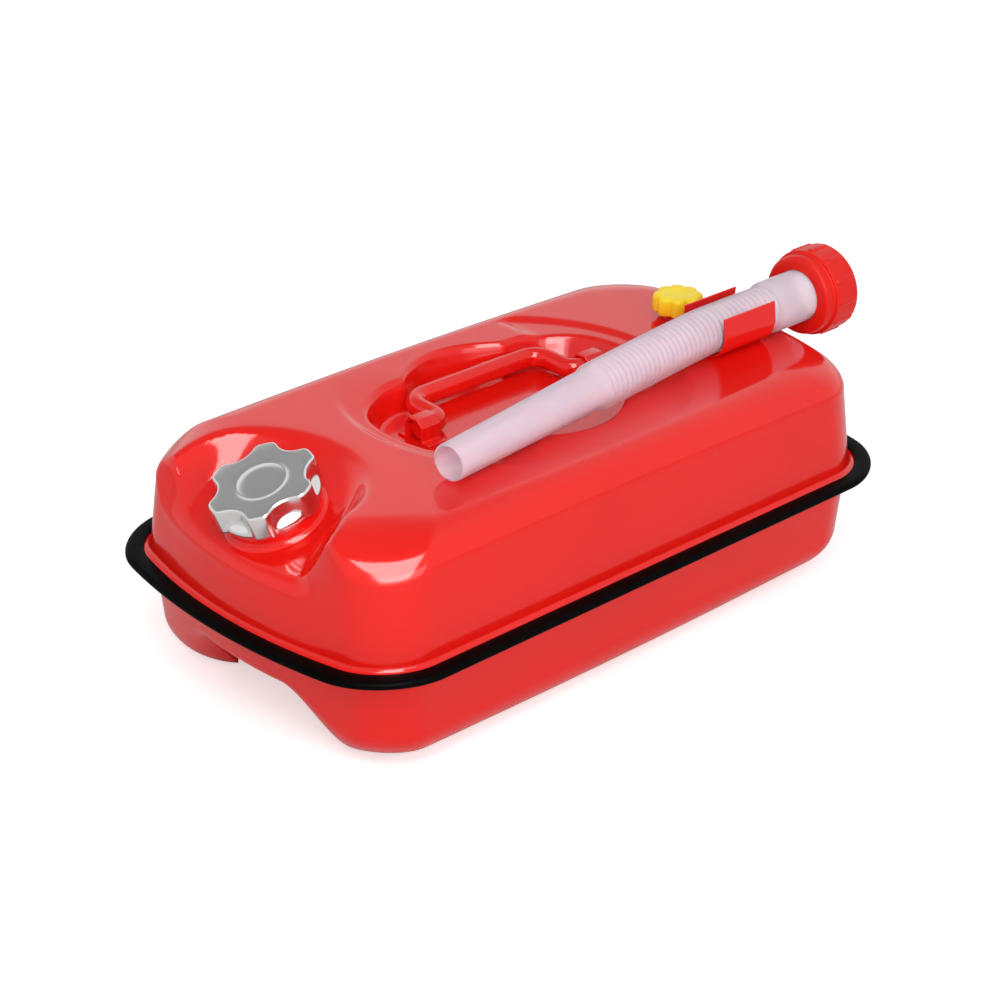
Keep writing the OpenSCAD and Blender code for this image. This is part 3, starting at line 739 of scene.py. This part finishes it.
# Brackets: straps folded over the rod, with a flat top and two feet
floor = -PIVOT_H
grasp = ROD_R + STRAP_PLAY
reach = grasp + STRAP_T
right = [(grasp, floor), (grasp, 2.7), (3.1, grasp)]
outer = [(reach + FOOT_LEN, floor), (reach + FOOT_LEN, floor + STRAP_T), (reach, floor + STRAP_T),
         (reach, 3.3), (3.8, reach)]
strap = outer + [(-y, z) for y, z in outer[::-1]] + [(-y, z) for y, z in right] + right[::-1]
for node, x in (("handle_bracket_front", GRIP_X - BRACKET_X - BRACKET_LEN),
                ("handle_bracket_rear", GRIP_X + BRACKET_X)):
    bracket = moved(extruded(strap, BRACKET_LEN), Matrix.Translation((x, PIVOT_Y, PIVOT_Z)))
    piece(node.replace("handle", "folded"), bracket, "can", [node], "red_paint", sharp=30, bevel=0.5)


# Spout clip: two sprung sides that curve out from under the spout and lean in again over its middle
def clip_point(part, out, lowest):
    w = QUARTER * (part - 1)
    r = CLIP_HALF + CLIP_BULGE * part + out
    return r * math.cos(w), max(lowest, SPOUT_Z - TOP_Z + r * math.sin(w))


parts = np.linspace(0, 1, CLIP_STEPS)[3:]
leaf = [clip_point(part, 0, CLIP_T) for part in parts]
leaf += [(CLIP_HALF, CLIP_H), (CLIP_HALF + CLIP_T, CLIP_H)]
leaf += [clip_point(part, CLIP_T, 0) for part in parts[::-1]]
clip = extruded(leaf + [(-y, z) for y, z in leaf[::-1]], CLIP_LEN)
clip = moved(clip, Matrix.Translation((CLIP_X, SPOUT_Y, TOP_Z)))
piece("spring_clip", clip, "can", ["nozzle_clip"], "red_paint", sharp=12, bevel=0.3)


# Spout: a smooth tapered end, a ribbed middle and a cuff that ends in a flange inside the nut
def spout_line(x):
    """Middle line of the spout, which sways aside and sinks towards its tip."""
    t = np.maximum(0, (CLIP_X - x) / (CLIP_X - TIP_X))
    y = SPOUT_Y - TIP_SWAY * t ** SWAY_POWER
    z = SPOUT_Z + (TIP_Z - SPOUT_Z) * (1 - (1 - t) ** 2)
    return np.column_stack([x, y, z])


def taper(x):
    """Growth of the smooth tube's radius since its tip."""
    return (TUBE_R - TIP_R) * (x - TIP_X) / (RIB_X - TIP_X)


pitch = RIB_LEN / RIB_COUNT
rib_start = RIB_X + pitch / 2
rib_end = RIB_X + RIB_LEN
flange_x = NUT_X + NUT_WALL + CLEARANCE
flange_end = flange_x + FLANGE_T
plain = np.linspace(TIP_X + 1.2, RIB_X - FLARE_LEN, TUBE_STEPS)
flare = np.linspace(RIB_X - FLARE_LEN, rib_start, FLARE_STEPS)[1:-1]
flare_part = smooth((flare - RIB_X + FLARE_LEN) / (pitch / 2 + FLARE_LEN))
ribs = np.linspace(rib_start, rib_end, RIB_COUNT * RIB_STEPS)
rib_wave = np.abs(np.sin((ribs - RIB_X) / pitch * math.pi)) ** 0.8
outside = [(TIP_X, TIP_R - 0.6), (TIP_X + 0.4, TIP_R - 0.15)]
outside += [(x, TIP_R + taper(x)) for x in plain]
outside += [(x, TUBE_R + (RIB_R - TUBE_R) * s) for x, s in zip(flare, flare_part)]
outside += [(x, RIB_R - RIB_DEPTH * (1 - s)) for x, s in zip(ribs, rib_wave)]
outside += [(rib_end + 1.5, CUFF_R - 0.6), (rib_end + 2.5, CUFF_R - 0.1), (rib_end + 4, CUFF_R),
            (flange_x - 0.8, CUFF_R), (flange_x - 0.1, CUFF_R + 0.6), (flange_x, FLANGE_R - 0.3),
            (flange_x + 0.3, FLANGE_R), (flange_end - 0.3, FLANGE_R), (flange_end, FLANGE_R - 0.3)]
bore_r = RIB_R - RIB_DEPTH - SPOUT_WALL
within = [(flange_end, CUFF_R - SPOUT_WALL), (rib_end + 4, CUFF_R - SPOUT_WALL), (rib_end - 2, bore_r)]
within += [(x, bore_r) for x in np.linspace(rib_end - 8, RIB_X + 6, TUBE_STEPS)]
within += [(x, TIP_R - SPOUT_WALL + taper(x)) for x in np.linspace(RIB_X - 4, TIP_X, TUBE_STEPS)]
x, radii = np.array(outside + within).T
ahead = spout_line(x + 1) - spout_line(x - 1)
spout = skin(rings_along(spout_line(x), ahead, radii, SPOUT_SIDES), closed=True)
piece("ribbed_spout", spout, "spout", ["nozzle_pipe"], "milky_plastic", sharp=60)

# Nut on the spout, turned about the can's length
on_nut = Matrix.Translation((NUT_X, SPOUT_Y, SPOUT_Z)) @ Matrix.Rotation(QUARTER, 4, "Y")


def nut_reach(r, z, angles):
    """Lugs that stand out of the nut's widest part and end softly."""
    if r < NUT_R - 0.01:
        return np.full(len(angles), float(r))
    turn = FULL / LUG_COUNT
    off = np.abs((angles + turn / 2) % turn - turn / 2) * NUT_R
    ends = smooth((z - NUT_FRONT_LEN - 2) / LUG_END) * smooth((NUT_LEN - 1 - z) / LUG_END)
    return r + LUG_H * smooth((LUG_HALF - off) / LUG_SLOPE) * ends


rim_z = (NUT_FRONT_LEN + 1.6, 10, 10.6, 11.2, 13, 19, 25.6, 26.2, 26.7, NUT_LEN - 0.9)
rim = [(NUT_R, z) for z in rim_z]
ridge_r = NUT_SOCKET_R - GROOVE_DEPTH
grooves = []
for k in range(THREAD_TURNS):
    z = NUT_LEN - 3 - GROOVE_PITCH * k
    grooves += [(NUT_SOCKET_R, z), (ridge_r, z - 0.8), (ridge_r, z - 1.6), (NUT_SOCKET_R, z - 2.4)]
hole_r = CUFF_R + CLEARANCE
flange_room = FLANGE_R + CLEARANCE
front = rounded_profile([(hole_r, NUT_WALL, 0), (hole_r, 0, 0.8), (NUT_FRONT_R, 0, 3.5),
                         (NUT_FRONT_R, NUT_FRONT_LEN, 1.2), (NUT_R - 0.02, NUT_FRONT_LEN, 1.6),
                         (NUT_R - 0.02, NUT_FRONT_LEN + 1.5, 0)])
back = [(NUT_R - 0.4, NUT_LEN - 0.25), (NUT_R - 1, NUT_LEN), (NUT_SOCKET_R + 0.6, NUT_LEN),
        (NUT_SOCKET_R, NUT_LEN - 0.6)]
pocket = [(NUT_SOCKET_R, NUT_SOCKET), (flange_room, NUT_SOCKET), (flange_room, NUT_WALL)]
nut_profile = [tuple(p) for p in front] + rim + back + grooves + pocket
nut = moved(skin(turned(nut_profile, nut_reach), closed=True), on_nut)
piece("spout_nut", nut, "spout_nut", ["nozzle_nut"], "red_plastic", sharp=45)


# Vent knob: rounded lobes around a screw
def knob_reach(r, z, angles):
    """Lobes around the knob's middle."""
    if r > 0:
        return np.full(len(angles), float(r))
    turn = FULL / LOBE_COUNT
    off = (angles + turn / 2) % turn - turn / 2
    middle = KNOB_R - LOBE_R
    inside = LOBE_R ** 2 - (middle * np.sin(off)) ** 2
    lobe = np.where(inside > 0, middle * np.cos(off) + np.sqrt(np.maximum(inside, 0)), 0)
    return np.maximum(lobe, middle + 0.3) + r


below = KNOB_Z - TOP_Z + VENT_REACH
screw = [(SCREW_R - 0.8, -below), (SCREW_R, -below + 0.8), (SCREW_R, -0.2), (SCREW_R + 0.2, 0)]
lobes = [(9, 0), (-1.2, 0), (-0.4, 0.3), (NO_INSET, 1), (NO_INSET, 5), (-0.2, KNOB_H - 3),
         (-0.6, KNOB_H - 1.5), (-1.2, KNOB_H - 0.6), (-2.2, KNOB_H - 0.15), (-3.4, KNOB_H)]
dimple = [(8, KNOB_H), (7.4, KNOB_H - 0.1), (6.8, KNOB_H - 0.4), (6, KNOB_H - 0.5), (3, KNOB_H - 0.5)]
knob = skin(turned(screw + lobes + dimple, knob_reach), first=True, last=True)
knob = moved(knob, Matrix.Translation((VENT[0], VENT[1], KNOB_Z)))
piece("yellow_knob", knob, "vent", ["vent_knob"], "yellow_plastic", sharp=50)

# CAD pieces that are shown as they are
for node, slot in (("cap_gasket", "black_rubber"), ("nozzle_gasket", "black_rubber"),
                   ("vent_seal", "black_rubber"), ("vent_boss", "red_paint")):
    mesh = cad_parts[node].data
    mesh.materials.clear()
    mesh.materials.append(finishes[slot])

# Floor: pale, white to the camera where the light reaches it, and darker in the can's shadow
floor_mesh = bpy.data.meshes.new("floor")
corners = [(x * FLOOR_HALF, y * FLOOR_HALF, FLOOR_Z) for x, y in ((-1, -1), (1, -1), (1, 1), (-1, 1))]
floor_mesh.from_pydata(corners, [], [(0, 1, 2, 3)])
floor_obj = bpy.data.objects.new("floor", floor_mesh)
bpy.context.scene.collection.objects.link(floor_obj)
pale = surface("pale floor", (0.8, 0.8, 0.8), (0.78, 0.78, 0.78), 3, 0.6, Specular_IOR_Level=0.0)
floor_mesh.materials.append(pale)
nodes, links = pale.node_tree.nodes, pale.node_tree.links
rays = nodes.new("ShaderNodeLightPath")
glow = nodes.new("ShaderNodeMath")
glow.operation = "MULTIPLY"
glow.inputs[1].default_value = FLOOR_GLOW
links.new(rays.outputs["Is Camera Ray"], glow.inputs[0])
links.new(glow.outputs[0], nodes["Principled BSDF"].inputs["Emission Strength"])
nodes["Principled BSDF"].inputs["Emission Color"].default_value = (1, 1, 1, 1)

# World: white behind the can and in most reflections, a plain level of light on everything else
world = bpy.data.worlds.new("studio")
bpy.context.scene.world = world
world.use_nodes = True
nodes, links = world.node_tree.nodes, world.node_tree.links
rays = nodes.new("ShaderNodeLightPath")
place = nodes.new("ShaderNodeTexCoord")


def world_math(operation, *sources, value=None):
    """Output of a new maths node that is fed by the given outputs; a value sets its last input."""
    node = nodes.new("ShaderNodeMath")
    node.operation = operation
    for k, source in enumerate(sources):
        links.new(source, node.inputs[k])
    if value is not None:
        node.inputs[len(sources)].default_value = value
    return node.outputs[0]


def along(axis):
    """Output that tells how far a ray's direction points along an axis."""
    node = nodes.new("ShaderNodeVectorMath")
    node.operation = "DOT_PRODUCT"
    links.new(place.outputs["Generated"], node.inputs[0])
    node.inputs[1].default_value = axis
    return node.outputs["Value"]


# Reflections see a dimmer ceiling high up behind the can
ceiling = nodes.new("ShaderNodeMapRange")
ceiling.interpolation_type = "SMOOTHSTEP"
for socket, value in (("From Min", 0.62), ("From Max", 0.8), ("To Min", 1.0), ("To Max", 0.38)):
    ceiling.inputs[socket].default_value = value
links.new(along(CEILING_AXIS), ceiling.inputs["Value"])

# A bright window that only reflections show, high up on the filler end's near side
toward = Vector(WINDOW_TOWARD).normalized()
sideways = toward.cross(Vector((0, 0, 1))).normalized()
pane = world_math("GREATER_THAN", along(toward), value=0.0)
for axis, half_size in zip((sideways, sideways.cross(toward)), WINDOW_HALF):
    inside = world_math("LESS_THAN", world_math("ABSOLUTE", along(axis)), value=half_size)
    pane = world_math("MULTIPLY", pane, inside)
pane = world_math("MULTIPLY", pane, rays.outputs["Is Glossy Ray"])
bright = world_math("MULTIPLY", pane, value=WINDOW_STRENGTH)
shining = world_math("ADD", ceiling.outputs["Result"], bright)
mirrored = world_math("MAXIMUM", rays.outputs["Is Glossy Ray"], rays.outputs["Is Transmission Ray"])

reflected = nodes.new("ShaderNodeMix")
reflected.inputs["A"].default_value = PLAIN_LIGHT
links.new(mirrored, reflected.inputs["Factor"])
links.new(shining, reflected.inputs["B"])
strength = nodes.new("ShaderNodeMix")
strength.inputs["B"].default_value = 1.0
links.new(rays.outputs["Is Camera Ray"], strength.inputs["Factor"])
links.new(reflected.outputs["Result"], strength.inputs["A"])
links.new(strength.outputs["Result"], nodes["Background"].inputs["Strength"])
nodes["Background"].inputs["Color"].default_value = (1, 1, 1, 1)


def lamp(name, place, target, size, power):
    """Adds a rectangular lamp that faces a target."""
    data = bpy.data.lights.new(name, "AREA")
    data.shape = "RECTANGLE"
    data.size, data.size_y = size
    data.energy = power
    obj = bpy.data.objects.new(name, data)
    bpy.context.scene.collection.objects.link(obj)
    obj.location = place
    obj.rotation_euler = (Vector(target) - Vector(place)).to_track_quat("-Z", "Y").to_euler()
    return obj


lamp("window", (-0.72, -0.62, 1.15), (-0.12, -0.06, 0.1), (0.62, 0.42), 5).visible_glossy = False
lamp("front", (-0.7, -1.7, 1.0), (0, 0, 0.08), (1.6, 0.9), 14)

# Camera at the photograph's viewing angle
camera = bpy.data.objects.new("camera", bpy.data.cameras.new("camera"))
bpy.context.scene.collection.objects.link(camera)
camera.data.lens = 88.46
camera.data.sensor_width = 36
ahead = Vector((0.6085, 0.6536, -0.45)).normalized()
across = Vector((0.733, -0.6803, 0.0031)).normalized()
upright = across.cross(ahead).normalized()
across = ahead.cross(upright).normalized()
facing = Matrix((across, upright, -ahead)).transposed().to_4x4()
camera.matrix_world = Matrix.Translation((CENTRE_X * MM - 0.9183, -0.9760, 0.7439)) @ facing
bpy.context.scene.camera = camera
bpy.context.scene.view_settings.view_transform = "Standard"
